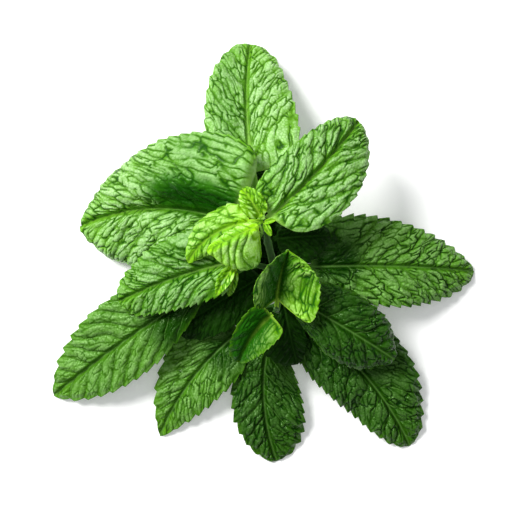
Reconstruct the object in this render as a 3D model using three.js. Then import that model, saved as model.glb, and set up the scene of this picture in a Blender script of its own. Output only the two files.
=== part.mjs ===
// Cut tip of a mint sprig lying down, seen from above with its leaves spread
// around the shoot tip. Millimetres, +Z up, +X to the right and +Y to the back.
// Every leaf grew with its stalk as one piece; each is held to a stem node.
import * as THREE from 'three';

// ---------------------------------------------------------------- sizes

const LONGEST_LEAF = 72.4; // stalk and blade of the low left leaf; sets the sprig's scale
const STEM_RISE = 1.0; // how steeply the lying stem climbs to its tip
const BLADE_WIDTH = 1.0; // breadth of every blade against its own length
const BLADE_THICKNESS = 0.6; // leaf blade between two veins
const RIB_THICKNESS = 1.1; // leaf blade through its midrib
const STEM_WIDTH = 2.8; // across the flats of the square main stem at its lowest node
const STALK_GAP = 0.3; // clearance between a leaf stalk and the stem that carries it

const SCALE = LONGEST_LEAF / 72.4; // lengths below are for the longest leaf at 72.4
const TOOTH_REACH = 0.8 * SCALE; // how far a margin tooth stands out

// ---------------------------------------------------------------- helpers

const radians = (degrees) => (degrees * Math.PI) / 180;
const mix = (a, b, t) => a + (b - a) * t;
const corner = Math.SQRT2; // half diagonal of a square against its half side

// A closed body from rows of rings; every ring has the same number of points.
function sweepRings(rings) {
  const sides = rings[0].length;
  const points = rings.flat();
  const faces = [];
  for (let row = 0; row + 1 < rings.length; row += 1) {
    for (let side = 0; side < sides; side += 1) {
      const next = (side + 1) % sides;
      const a = row * sides + side;
      const b = row * sides + next;
      const c = (row + 1) * sides + next;
      const d = (row + 1) * sides + side;
      faces.push(a, b, c, a, c, d);
    }
  }
  const last = (rings.length - 1) * sides;
  for (let side = 1; side + 1 < sides; side += 1) {
    faces.push(0, side + 1, side);
    faces.push(last, last + side, last + side + 1);
  }
  return closedGeometry(points, faces);
}

function closedGeometry(points, faces) {
  const geometry = new THREE.BufferGeometry();
  const flat = points.flatMap((point) => [point.x, point.y, point.z]);
  geometry.setAttribute('position', new THREE.Float32BufferAttribute(flat, 3));
  geometry.setIndex(faces);
  geometry.computeVertexNormals();
  return geometry;
}

function nodePoint(name) {
  const [x, y, z] = NODES[name].place;
  return new THREE.Vector3(x * SCALE, y * SCALE, z * SCALE * STEM_RISE);
}

function nodeHalf(name) {
  return (NODES[name].half / 1.4) * (STEM_WIDTH / 2);
}

// ---------------------------------------------------------------- materials

const GREENS = {
  stem: { color: 0x6f9a3c, roughness: 0.55 },
  young: { color: 0x9fcf3a, roughness: 0.5 },
  upper: { color: 0x5fa63e, roughness: 0.45 },
  lower: { color: 0x2f6d27, roughness: 0.45 },
};

function greenMaterial(kind) {
  return new THREE.MeshStandardMaterial({ ...GREENS[kind], metalness: 0 });
}

// ---------------------------------------------------------------- stems

// Nodes are the joints of the stem where leaf stalks leave it. `half` is half
// the stem's width there. The stem is nearly straight between its nodes.
const NODES = {
  cut: { place: [9.2, -20.4, 2.2], half: 1.45 },
  low: { place: [5.2, -16.0, 7.2], half: 1.4 },
  middle: { place: [3.4, -5.0, 16.0], half: 1.3 },
  high: { place: [1.2, 3.6, 23.6], half: 1.05 },
  top: { place: [0.2, 8.4, 34.0], half: 0.85 },
  leftBend: { place: [-3.6, -3.4, 18.6], half: 0.9 },
  leftTip: { place: [-7.4, -2.6, 24.0], half: 0.8 },
  nearBend: { place: [5.4, -11.6, 19.0], half: 0.9 },
  nearTip: { place: [3.8, -17.0, 24.4], half: 0.8 },
};

// Where a side shoot starts: its near corner stands the gap off its parent's.
function shootStart(parent, parentNext, shootNode) {
  const from = nodePoint(parent);
  const away = nodePoint(shootNode).sub(from).normalize();
  const axis = nodePoint(parentNext).sub(from).normalize();
  const cosine = Math.abs(away.dot(axis));
  const sine = Math.sqrt(1 - cosine * cosine);
  const clear = (nodeHalf(parent) + nodeHalf(shootNode) * cosine) * corner + STALK_GAP;
  return from.addScaledVector(away, clear / sine);
}

// A square stem through its nodes, from `start` where it is a side shoot.
function stemGeometry(names, start) {
  const places = names.map(nodePoint);
  const halves = names.map(nodeHalf);
  if (start) {
    places.unshift(start);
    halves.unshift(halves[0]);
  }
  const rings = places.map((place, index) => {
    const before = places[Math.max(index - 1, 0)];
    const after = places[Math.min(index + 1, places.length - 1)];
    const along = after.clone().sub(before).normalize();
    const side = new THREE.Vector3(-along.y, along.x, 0).normalize();
    const up = along.clone().cross(side);
    const half = halves[index];
    return [[-1, -1], [1, -1], [1, 1], [-1, 1]].map(([across, above]) =>
      place.clone().addScaledVector(side, across * half).addScaledVector(up, above * half));
  });
  return sweepRings(rings);
}

// The growing tip between the youngest leaves: a small pointed bud.
function budGeometry(name, leanHeading) {
  const root = nodePoint(name);
  const half = nodeHalf(name);
  const heading = radians(leanHeading);
  const lean = new THREE.Vector3(Math.cos(heading), Math.sin(heading), 0);
  const heights = [0, 0.9, 1.9, 2.9];
  const widths = [0.5, 0.8, 0.65, 0.2];
  const rings = heights.map((height, row) => {
    const middle = root.clone().addScaledVector(lean, height * 0.3 * half);
    middle.z += half * corner + STALK_GAP + height * half;
    return Array.from({ length: 6 }, (_, side) => {
      const angle = (side / 6) * Math.PI * 2;
      const radius = widths[row] * half;
      return middle.clone().add(
        new THREE.Vector3(Math.cos(angle) * radius, Math.sin(angle) * radius, 0));
    });
  });
  return sweepRings(rings);
}

// ---------------------------------------------------------------- leaves

// One record per leaf. `length` runs along stalk and blade. `heading` is the
// compass angle it leaves the stem at, counted from +X towards +Y, and `turn`
// how far it bends sideways by its tip. `rise` is its climb at the stem and
// `fall` its climb at the tip, with `bow` above 1 bending late. `stalk` is the
// stalk's share of the length. `left` and `right` shape each half: half width,
// fullness at base, fullness at tip (smaller is fuller), fold up at base and at
// tip, and curl of the margin (below zero rolls down).
const LEAVES = [
  {
    name: 'far_leaf', node: 'high', lift: -1.6, green: 'upper', teeth: 14,
    length: 61, heading: 105.7, turn: -23.4, rise: 0, fall: -41.2, bow: 1.5,
    stalk: 0.3, stalkHalf: 1.2, wave: 0.5,
    left: [12.1, 0.3, 0.51, 22, 12, -28], right: [14.9, 0.16, 0.52, 24, 14, -30],
  },
  {
    name: 'broad_left_leaf', node: 'high', lift: 0.6, green: 'upper', teeth: 15,
    length: 60.7, heading: 150, turn: 55.2, rise: -8, fall: -36.8, bow: 1.5,
    stalk: 0.14, stalkHalf: 1.1, wave: 0.8, lobe: 0.1,
    left: [18.7, 0.7, 0.42, 8, 4, -45], right: [25, 0.16, 0.92, 50, 6, -55],
  },
  {
    name: 'top_right_leaf', node: 'top', lift: 0.2, green: 'upper', teeth: 13,
    length: 42, heading: 41.3, turn: 12.6, rise: 12, fall: -46.6, bow: 1.2,
    stalk: 0.03, stalkHalf: 1.1, wave: 0.4,
    left: [10.4, 0.18, 0.45, 20, 8, -25], right: [13.2, 0.42, 0.7, 16, 6, -25],
  },
  {
    name: 'right_leaf', node: 'middle', lift: 0.6, green: 'lower', teeth: 17,
    length: 61, heading: 4, turn: -10.1, rise: 4, fall: -36.2, bow: 1.2,
    stalk: 0.14, stalkHalf: 1, wave: 0.5,
    left: [14.6, 0.28, 0.79, 6, 2, -20], right: [11.4, 0.55, 0.6, 12, 4, -20],
  },
  {
    name: 'low_right_leaf', node: 'low', lift: 1.4, green: 'lower', teeth: 17,
    length: 57.1, heading: -30.6, turn: -35, rise: 8, fall: -22.6, bow: 1,
    stalk: 0.03, stalkHalf: 1, wave: 0.5,
    left: [14.6, 0.48, 0.75, 6, 2, -20], right: [11.6, 0.4, 0.62, 6, 2, -20],
  },
  {
    name: 'short_right_leaf', node: 'nearBend', lift: 1.65, green: 'lower', teeth: 12,
    length: 38.7, heading: -28.1, turn: -6, rise: 14, fall: -31.1, bow: 1,
    stalk: 0.06, stalkHalf: 0.8, wave: 0,
    left: [10.2, 0.4, 0.55, -6, -4, -35], right: [9.5, 0.6, 0.5, -6, -4, -35],
  },
  {
    name: 'near_leaf', node: 'low', lift: -1.2, green: 'lower', teeth: 13,
    length: 46.2, heading: -110.8, turn: 41.6, rise: 10, fall: -21.3, bow: 1,
    stalk: 0.14, stalkHalf: 0.9, wave: 0.5,
    left: [11.1, 0.72, 0.51, 10, 4, -15], right: [9.3, 0.5, 0.64, 10, 4, -15],
  },
  {
    name: 'near_left_leaf', node: 'low', lift: 0.6, green: 'lower', teeth: 13,
    length: 53, heading: -151.6, turn: 40, rise: 6, fall: -19.8, bow: 1,
    stalk: 0.22, stalkHalf: 0.9, wave: 0.4,
    left: [9.8, 0.34, 0.78, 14, 8, -8], right: [11.1, 0.47, 1.05, 12, 8, -8],
  },
  {
    name: 'low_left_leaf', node: 'leftBend', lift: -1.2, green: 'lower', teeth: 17,
    length: 72.4, heading: -152, turn: 12.3, rise: 2, fall: -27.6, bow: 1,
    stalk: 0.16, stalkHalf: 1, wave: 0.4,
    left: [10.9, 0.96, 0.84, 12, 6, -10], right: [12.4, 0.74, 0.9, 12, 6, -10],
  },
  {
    name: 'mid_left_leaf', node: 'leftTip', lift: -0.4, green: 'upper', teeth: 12,
    length: 36.8, heading: -168.6, turn: 15.9, rise: 8, fall: -30.6, bow: 1,
    stalk: 0.03, stalkHalf: 0.8, wave: 0.5,
    left: [8.8, 0.15, 0.3, 12, 6, -20], right: [11.6, 0.15, 0.52, 14, 8, -24],
  },
  {
    name: 'young_back_leaf', node: 'top', lift: -1.2, green: 'young', teeth: 10,
    length: 26.1, heading: 178, turn: 66.2, rise: 4, fall: -32.6, bow: 1,
    stalk: 0.1, stalkHalf: 0.9, wave: 0.6,
    left: [5, 0.4, 0.7, -10, -10, -25], right: [6.6, 0.34, 0.83, -4, -8, -25],
  },
  {
    name: 'young_hanging_leaf', node: 'top', lift: 1.6, green: 'young', teeth: 8,
    length: 17.9, heading: -152.7, turn: -4, rise: 24, fall: -41.6, bow: 1,
    stalk: 0.03, stalkHalf: 0.8, wave: 0.9,
    left: [13.7, 0.15, 0.39, -34, -26, -20], right: [3, 0.3, 0.7, -34, -34, -10],
  },
  {
    name: 'cupped_leaf', node: 'nearTip', lift: 0.6, green: 'young', teeth: 10,
    length: 18.4, heading: 87.1, turn: -17.7, rise: 14, fall: 37, bow: 1,
    stalk: 0.12, stalkHalf: 0.7, wave: 0, lobe: 0.7, leftLobe: 0.3,
    left: [13, 0.31, 0.44, 46, 46, 25], right: [12.7, 0.18, 0.31, 6, 6, 20],
  },
  {
    name: 'channel_leaf', node: 'nearTip', lift: -0.6, green: 'young', teeth: 9,
    length: 19.1, heading: -139.8, turn: 30.9, rise: 10, fall: -43.9, bow: 1,
    stalk: 0.03, stalkHalf: 0.7, wave: 0,
    left: [7.3, 0.15, 0.7, 24, 20, 10], right: [6.8, 0.17, 0.59, 30, 20, 10],
  },
  {
    name: 'shaded_right_leaf', node: 'high', lift: -0.4, green: 'lower', teeth: 8,
    length: 17.3, heading: 6.2, turn: -6, rise: 4, fall: -25.6, bow: 1,
    stalk: 0.06, stalkHalf: 0.8, wave: 0.4,
    left: [6, 0.4, 0.7, 10, 6, -20], right: [8, 0.35, 0.7, 6, 4, -20],
  },
  {
    name: 'shaded_middle_leaf', node: 'middle', lift: -1.4, green: 'lower', teeth: 11,
    length: 33, heading: -150, turn: 4, rise: 8, fall: -24, bow: 1,
    stalk: 0.08, stalkHalf: 0.8, wave: 0.4,
    left: [8, 0.4, 0.5, 6, 4, -10], right: [8, 0.4, 0.5, 4, 2, -10],
  },
  {
    name: 'shaded_far_leaf', node: 'middle', lift: -1.4, green: 'lower', teeth: 10,
    length: 29, heading: 94, turn: 4, rise: 8, fall: -20, bow: 1,
    stalk: 0.04, stalkHalf: 0.8, wave: 0.3,
    left: [9, 0.35, 0.5, 6, 4, -10], right: [7.5, 0.35, 0.5, 6, 4, -10],
  },
  {
    name: 'shaded_near_leaf', node: 'nearBend', lift: -0.8, green: 'lower', teeth: 9,
    length: 22, heading: -80, turn: 6, rise: -8, fall: -32, bow: 1,
    stalk: 0.06, stalkHalf: 0.7, wave: 0.3,
    left: [4.5, 0.4, 0.6, 6, 4, -10], right: [10.5, 0.3, 0.6, 6, 4, -10],
  },
  {
    name: 'shaded_back_leaf', node: 'low', lift: -1.2, green: 'lower', teeth: 10,
    length: 30, heading: 122, turn: 4, rise: 6, fall: -8, bow: 1,
    stalk: 0.02, stalkHalf: 0.8, wave: 0.3,
    left: [9, 0.3, 0.5, 4, 4, -10], right: [8, 0.4, 0.5, 4, 4, -10],
  },
  {
    name: 'tuft_leaf_far', node: 'top', lift: 1.9, green: 'young', teeth: 6,
    length: 10.5, heading: 118, turn: 10, rise: 38, fall: -14, bow: 1,
    stalk: 0.06, stalkHalf: 0.6, wave: 0.2,
    left: [3.6, 0.4, 0.6, 20, 12, -10], right: [3.4, 0.4, 0.6, 20, 12, -10],
  },
  {
    name: 'bud_leaf_left', node: 'leftTip', lift: 1.8, green: 'young', teeth: 5,
    length: 10.5, heading: -128, turn: 16, rise: 14, fall: -16, bow: 1,
    stalk: 0.1, stalkHalf: 0.5, wave: 0,
    left: [2.4, 0.5, 0.9, 24, 20, 10], right: [2.4, 0.5, 0.9, 24, 20, 10],
  },
  {
    name: 'bud_leaf_right', node: 'leftTip', lift: -1.4, green: 'young', teeth: 5,
    length: 10.3, heading: -104, turn: 0, rise: -6, fall: -41.8, bow: 1,
    stalk: 0.1, stalkHalf: 0.5, wave: 0,
    left: [1.9, 0.5, 0.9, 30, 20, 10], right: [1.9, 0.5, 0.9, 30, 20, 10],
  },
];

// Frames along the midrib: position, forward, left and upward directions.
function midribFrames(leaf, rows) {
  const steps = rows * 4;
  const heading0 = radians(leaf.heading);
  const reach = nodeHalf(leaf.node) * corner + STALK_GAP;
  const position = nodePoint(leaf.node);
  position.x += reach * Math.cos(heading0);
  position.y += reach * Math.sin(heading0);
  position.z += leaf.lift * SCALE;
  const stride = (leaf.length * SCALE) / steps;
  const frames = [];
  let previous = null;
  for (let step = 0; step <= steps; step += 1) {
    const share = step / steps;
    const climb = radians(mix(leaf.rise, leaf.fall, share ** leaf.bow));
    const heading = radians(leaf.heading + leaf.turn * share);
    const flat = Math.cos(climb);
    const forward = new THREE.Vector3(
      flat * Math.cos(heading), flat * Math.sin(heading), Math.sin(climb));
    const left = new THREE.Vector3(-Math.sin(heading), Math.cos(heading), 0);
    const up = forward.clone().cross(left);
    if (previous) {
      position.addScaledVector(previous.clone().add(forward), stride / 2);
    }
    previous = forward;
    if (step % 4 === 0) {
      frames.push({ position: position.clone(), forward, left, up });
    }
  }
  return frames;
}

// Half width of one side of the blade at `share` of the blade's length.
function halfWidth(side, share) {
  const [half, base, tip] = side;
  const peak = (base / (base + tip)) ** base * (tip / (base + tip)) ** tip;
  return (half * SCALE * BLADE_WIDTH * share ** base * (1 - share) ** tip) / peak;
}

// A point on the blade: `reach` runs from 0 at the midrib to 1 at the margin.
function bladePoint(leaf, frame, share, sign, reach, isTooth) {
  const side = sign > 0 ? leaf.left : leaf.right;
  const [, , , foldBase, foldTip, curlDegrees] = side;
  const width = Math.max(halfWidth(side, share), stalkHalfWidth(leaf, share));
  const curl = radians(curlDegrees);
  const fold = radians(mix(foldBase, foldTip, share));
  const angle = fold + curl * reach;
  const outward = (width / curl) * (Math.sin(angle) - Math.sin(fold));
  const flutter = leaf.wave * SCALE * reach ** 2 * Math.sin(Math.PI * share)
    * Math.sin(4 * Math.PI * share + (sign > 0 ? 0 : 1.7));
  const upward = (width / curl) * (Math.cos(fold) - Math.cos(angle)) + flutter;
  const lobe = (sign < 0 ? leaf.lobe : leaf.leftLobe) ?? 0;
  const backward = lobe * width * reach * (1 - share) ** 2;
  const point = frame.position.clone()
    .addScaledVector(frame.left, sign * outward)
    .addScaledVector(frame.up, upward)
    .addScaledVector(frame.forward, -backward);
  if (isTooth && share > 0) {
    const grow = TOOTH_REACH * Math.min(1, width / (6 * SCALE));
    point.addScaledVector(frame.left, sign * grow * Math.cos(angle));
    point.addScaledVector(frame.up, grow * Math.sin(angle));
    point.addScaledVector(frame.forward, grow);
  }
  return point;
}

function stalkHalfWidth(leaf, share) {
  return share < 0.5 ? leaf.stalkHalf * SCALE : 0;
}

// The closed leaf: an upper and a lower sheet that meet along the margin.
function leafGeometry(leaf) {
  const rows = Math.max(2 * leaf.teeth, 10);
  const frames = midribFrames(leaf, rows);
  const across = [[-1, 1], [-1, 0.5], [1, 0], [1, 0.5], [1, 1]];
  const rings = [];
  for (let row = 0; row < rows; row += 1) {
    const along = row / rows;
    const share = Math.max(0, (along - leaf.stalk) / (1 - leaf.stalk));
    const isTooth = row % 2 === 1;
    const ring = across.map(([sign, reach]) =>
      bladePoint(leaf, frames[row], share, sign, reach, isTooth && reach === 1));
    const rib = Math.min(1, 4 * (1 - along));
    const thickness = [BLADE_THICKNESS, RIB_THICKNESS, BLADE_THICKNESS].map((t) => t * rib);
    const above = [1, 2, 3].map((column) =>
      ring[column].clone().addScaledVector(frames[row].up, BLADE_THICKNESS * rib / 2));
    const below = [3, 2, 1].map((column) =>
      ring[column].clone().addScaledVector(
        frames[row].up, BLADE_THICKNESS * rib / 2 - thickness[column - 1]));
    rings.push([ring[0], ...above, ring[4], ...below]);
  }
  const sides = rings[0].length;
  const points = [...rings.flat(), frames[rows].position];
  const faces = [];
  for (let row = 0; row + 1 < rows; row += 1) {
    for (let side = 0; side < sides; side += 1) {
      const next = (side + 1) % sides;
      const a = row * sides + side;
      const b = row * sides + next;
      faces.push(a, b + sides, b, a, a + sides, b + sides);
    }
  }
  const last = (rows - 1) * sides;
  for (let side = 0; side < sides; side += 1) {
    faces.push(last + side, points.length - 1, last + ((side + 1) % sides));
  }
  for (let side = 1; side + 1 < sides; side += 1) {
    faces.push(0, side, side + 1);
  }
  return closedGeometry(points, faces);
}

// ---------------------------------------------------------------- assembly

const sprig = new THREE.Group();
sprig.name = 'mint_sprig';

function addPart(name, geometry, green) {
  const mesh = new THREE.Mesh(geometry, greenMaterial(green));
  mesh.name = name;
  sprig.add(mesh);
}

addPart('main_stem', stemGeometry(['cut', 'low', 'middle', 'high', 'top']), 'stem');
const leftStart = shootStart('middle', 'high', 'leftBend');
const nearStart = shootStart('middle', 'low', 'nearBend');
addPart('left_side_shoot', stemGeometry(['leftBend', 'leftTip'], leftStart), 'stem');
addPart('near_side_shoot', stemGeometry(['nearBend', 'nearTip'], nearStart), 'stem');
addPart('top_bud', budGeometry('top', -60), 'young');
for (const leaf of LEAVES) {
  addPart(leaf.name, leafGeometry(leaf), leaf.green);
}

// Stand the sprig on its lowest point, centred over the frame's origin.
const box = new THREE.Box3().setFromObject(sprig);
const middle = box.getCenter(new THREE.Vector3());
sprig.traverse((part) => {
  if (part.isMesh) {
    part.geometry.translate(-middle.x, -middle.y, -box.min.z);
  }
});

export default sprig;
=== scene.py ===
# A cut sprig of mint lying on a pale table, seen from straight above.
import math

import bpy
import numpy as np
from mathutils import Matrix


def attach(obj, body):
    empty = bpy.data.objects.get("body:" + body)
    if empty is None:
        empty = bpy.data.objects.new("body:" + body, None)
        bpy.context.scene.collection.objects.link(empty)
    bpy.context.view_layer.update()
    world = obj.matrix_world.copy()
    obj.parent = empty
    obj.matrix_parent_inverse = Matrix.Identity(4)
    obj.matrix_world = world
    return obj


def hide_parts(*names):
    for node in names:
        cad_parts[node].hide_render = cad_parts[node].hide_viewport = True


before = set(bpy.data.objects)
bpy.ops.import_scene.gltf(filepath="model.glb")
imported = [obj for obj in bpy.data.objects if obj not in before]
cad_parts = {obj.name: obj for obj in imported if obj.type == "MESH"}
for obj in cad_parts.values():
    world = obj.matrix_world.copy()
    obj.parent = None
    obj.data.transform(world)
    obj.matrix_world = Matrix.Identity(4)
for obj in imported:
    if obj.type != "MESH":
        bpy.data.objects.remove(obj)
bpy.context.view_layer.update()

MM = 0.001


# ---------------------------------------------------------------- camera, table and light
# The sprig lies on a matt white table top. A large soft lamp stands up and to
# the left of it, and a pale room fills the shadows from all sides.

CAMERA_HEIGHT = 620 * MM
TABLE_SEEN = 153.6 * MM      # width of table that the picture takes in
VIEW_CENTRE = (-2.28 * MM, -0.83 * MM)
TABLE_HALF = 3.0             # metres from the middle of the table to its edge

lens = bpy.data.cameras.new("camera")
lens.sensor_width = 36
lens.lens = lens.sensor_width * CAMERA_HEIGHT / TABLE_SEEN
lens.clip_start = 0.01
camera = bpy.data.objects.new("camera", lens)
camera.location = (*VIEW_CENTRE, CAMERA_HEIGHT)
bpy.context.scene.collection.objects.link(camera)
bpy.context.scene.camera = camera

bpy.context.scene.view_settings.view_transform = "Standard"


def soft_lamp(name, place, size, power, colour):
    light = bpy.data.lights.new(name, "AREA")
    light.shape = "DISK"
    light.size = size
    light.energy = power
    light.color = colour
    lamp = bpy.data.objects.new(name, light)
    lamp.location = place
    lamp.rotation_euler = (-lamp.location).to_track_quat("-Z", "Y").to_euler()
    bpy.context.scene.collection.objects.link(lamp)


soft_lamp("window_lamp", (-0.64, 0.52, 0.98), 0.56, 26.0, (1.0, 0.99, 0.97))
soft_lamp("ceiling_lamp", (0.05, 0.10, 1.60), 1.2, 4.5, (0.97, 0.99, 1.0))

world = bpy.data.worlds.new("pale_room")
world.use_nodes = True
world.node_tree.nodes["Background"].inputs["Color"].default_value = (0.97, 0.985, 1.0, 1)
world.node_tree.nodes["Background"].inputs["Strength"].default_value = 0.27
bpy.context.scene.world = world


def table_material():
    material = bpy.data.materials.new("white_table")
    material.use_nodes = True
    shader = material.node_tree.nodes["Principled BSDF"]
    shader.inputs["Base Color"].default_value = (0.87, 0.875, 0.88, 1)
    shader.inputs["Roughness"].default_value = 0.9
    shader.inputs["Specular IOR Level"].default_value = 0.1
    shader.inputs["Emission Color"].default_value = (1, 1, 1, 1)
    shader.inputs["Emission Strength"].default_value = 0.20     # lit from behind as well
    return material


def table_mesh(half):
    mesh = bpy.data.meshes.new("table_top")
    corners = [(-half, -half, 0), (half, -half, 0), (half, half, 0), (-half, half, 0)]
    mesh.from_pydata(corners, [], [(0, 1, 2, 3)])
    return mesh


table = bpy.data.objects.new("table_top", table_mesh(TABLE_HALF))
table.data.materials.append(table_material())
bpy.context.scene.collection.objects.link(table)


# ---------------------------------------------------------------- stem and side shoots
# The stem of mint is four-cornered with flat sides, green, watery and covered
# in short fine hairs. It swells a little at each node, where leaves join it.

GROWTH_TO_FRAME = np.array([-0.2496, 0.3209, -1.0902])   # from the growth plan to the part's origin
TABLE_CLEAR = 0.02           # how far the lowest skin stays above the table
RING_STEP = 0.35             # along the stem, from one ring of points to the next
NODE_SWELL = 0.16            # extra thickness at a node, as a share of the half width
SWELL_REACH = 0.09           # how far it reaches, as a share of the length between nodes
WAIST = -0.08                # thinner half way between two nodes
TOP_WAIST = -0.34            # the same for the thin top length of the main stem
TOP_STEP = 3
SHOOT_SUNK = 0.9             # a shoot starts this share of the way out through its parent

NODES = {
    "cut": (9.2, -20.4, 2.2), "low": (5.2, -16.0, 7.2), "middle": (3.4, -5.0, 16.0),
    "high": (1.2, 3.6, 23.6), "top": (0.2, 8.4, 34.0),
    "left_bend": (-3.6, -3.4, 18.6), "left_tip": (-7.4, -2.6, 24.0),
    "near_bend": (5.4, -11.6, 19.0), "near_tip": (3.8, -17.0, 24.4),
}
NODE_HALF = {
    "cut": 1.45, "low": 1.4, "middle": 1.3, "high": 1.05, "top": 0.85,
    "left_bend": 0.9, "left_tip": 0.8, "near_bend": 0.9, "near_tip": 0.8,
}


def node_place(name):
    return np.array(NODES[name])


def unit(vector):
    return vector / np.linalg.norm(vector, axis=-1, keepdims=True)


def smooth(value, low, high):
    share = np.clip((value - low) / (high - low), 0, 1)
    return share * share * (3 - 2 * share)


def add_mesh(name, points_mm, quads, tris=()):
    """A mesh object from points in the growth plan, in millimetres."""
    mesh = bpy.data.meshes.new(name)
    place = (np.asarray(points_mm) + GROWTH_TO_FRAME) * MM
    quads = np.asarray(quads, np.int32).reshape(-1, 4)
    tris = np.asarray(tris, np.int32).reshape(-1, 3)
    mesh.vertices.add(len(place))
    mesh.vertices.foreach_set("co", place.astype(np.float32).ravel())
    mesh.loops.add(quads.size + tris.size)
    mesh.loops.foreach_set("vertex_index", np.concatenate([quads.ravel(), tris.ravel()]))
    starts = np.concatenate([
        np.arange(len(quads)) * 4, quads.size + np.arange(len(tris)) * 3])
    mesh.polygons.add(len(starts))
    mesh.polygons.foreach_set("loop_start", starts.astype(np.int32))
    mesh.polygons.foreach_set("use_smooth", np.ones(len(starts), bool))
    mesh.update(calc_edges=True)
    piece = bpy.data.objects.new(name, mesh)
    bpy.context.scene.collection.objects.link(piece)
    return piece


def put_attribute(piece, name, values):
    layer = piece.data.attributes.new(name, "FLOAT", "POINT")
    layer.data.foreach_set("value", np.asarray(values, np.float32).ravel())


def put_uv(piece, name, uv_of_vertex):
    mesh = piece.data
    corner = np.zeros(len(mesh.loops), np.int32)
    mesh.loops.foreach_get("vertex_index", corner)
    layer = mesh.uv_layers.new(name=name)
    layer.data.foreach_set("uv", np.asarray(uv_of_vertex, np.float32)[corner].ravel())


def new_group(name, inputs, outputs):
    group = bpy.data.node_groups.new(name, "ShaderNodeTree")
    for label, kind, value in inputs:
        socket = group.interface.new_socket(label, in_out="INPUT", socket_type=kind)
        socket.default_value = value
    for label, kind in outputs:
        group.interface.new_socket(label, in_out="OUTPUT", socket_type=kind)
    start = group.nodes.new("NodeGroupInput")
    end = group.nodes.new("NodeGroupOutput")
    return group, start, end


def stem_rings(names, start_offset=None):
    """Points close together along the stem, each with its half width."""
    places = [node_place(name) for name in names]
    halves = [NODE_HALF[name] for name in names]
    if start_offset is not None:
        places.insert(0, start_offset)
        halves.insert(0, halves[0])
    out = []
    for step in range(len(places) - 1):
        a, b = places[step], places[step + 1]
        count = max(int(np.linalg.norm(b - a) / RING_STEP), 2)
        thin = TOP_WAIST if names[-1] == "top" and step == TOP_STEP else WAIST
        for i in range(count + (step == len(places) - 2)):
            t = i / count
            swell = NODE_SWELL * (math.exp(-(t / SWELL_REACH) ** 2)
                                  + math.exp(-((1 - t) / SWELL_REACH) ** 2))
            waist = thin * math.sin(math.pi * t)
            half = halves[step] * (1 - t) + halves[step + 1] * t
            out.append((a * (1 - t) + b * t, half * (1 + swell + waist)))
    return out


def stem_piece(name, names, start_offset=None):
    rings = stem_rings(names, start_offset)
    centre = np.array([ring[0] for ring in rings])
    for _ in range(6):                       # rounds the bends at the nodes
        centre[1:-1] = (centre[:-2] + 2 * centre[1:-1] + centre[2:]) / 4
    half = np.array([ring[1] for ring in rings])
    along = unit(np.gradient(centre, axis=0))
    side = unit(np.stack([-along[:, 1], along[:, 0], 0 * along[:, 0]], -1))
    up = np.cross(along, side)
    sides = 40
    angle = np.arange(sides) / sides * 2 * math.pi
    flat = 5.0                               # how square the section is
    reach = (np.abs(np.cos(angle)) ** flat + np.abs(np.sin(angle)) ** flat) ** (-1 / flat)
    corner = np.exp(-((np.mod(angle, math.pi / 2) - math.pi / 4) / 0.16) ** 2)
    reach = reach * (1 - 0.07 * np.cos(4 * angle)) + 0.02 * corner
    ring = half[:, None] * reach[None]
    points = (centre[:, None] + side[:, None] * (ring * np.cos(angle))[..., None]
              + up[:, None] * (ring * np.sin(angle))[..., None])
    points[..., 2] = np.maximum(points[..., 2], TABLE_CLEAR - GROWTH_TO_FRAME[2])
    rows = len(centre)
    index = np.arange(rows * sides).reshape(rows, sides)
    a, b = index[:-1], np.roll(index, -1, 1)[:-1]
    c, d = np.roll(index, -1, 1)[1:], index[1:]
    quads = np.stack([a, b, c, d], -1).reshape(-1, 4)
    # each end is a fan of triangles to a middle point that stands out a little
    end_dome = 0.06
    points = points.reshape(-1, 3)
    tris = []
    extra = []
    for row, out_dir in ((0, -1), (rows - 1, 1)):
        middle = centre[row] + along[row] * out_dir * end_dome
        base = len(points) + len(extra)
        extra.append(middle)
        for i in range(sides):
            j = (i + 1) % sides
            p, q = index[row, i], index[row, j]
            tris.append((p, base, q) if out_dir < 0 else (q, base, p))
    piece = add_mesh(name, np.vstack([points, extra]), quads, tris)
    length = np.concatenate([np.arange(rows).repeat(sides), [0, rows]]) / rows
    turn = np.concatenate([np.tile(np.arange(sides), rows), [0, 0]]) / sides
    put_uv(piece, "OFBake", 0.02 + 0.96 * np.stack([turn, length], -1))
    put_attribute(piece, "ridge", np.concatenate([np.tile(corner, rows), [0, 0]]))
    cut_fade = 1.2                           # rings over which the pale cut end fades out
    end = np.concatenate([np.exp(-np.arange(rows) / cut_fade).repeat(sides), [1, 0]])
    put_attribute(piece, "cut", end if start_offset is None else end * 0)
    return piece


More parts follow.
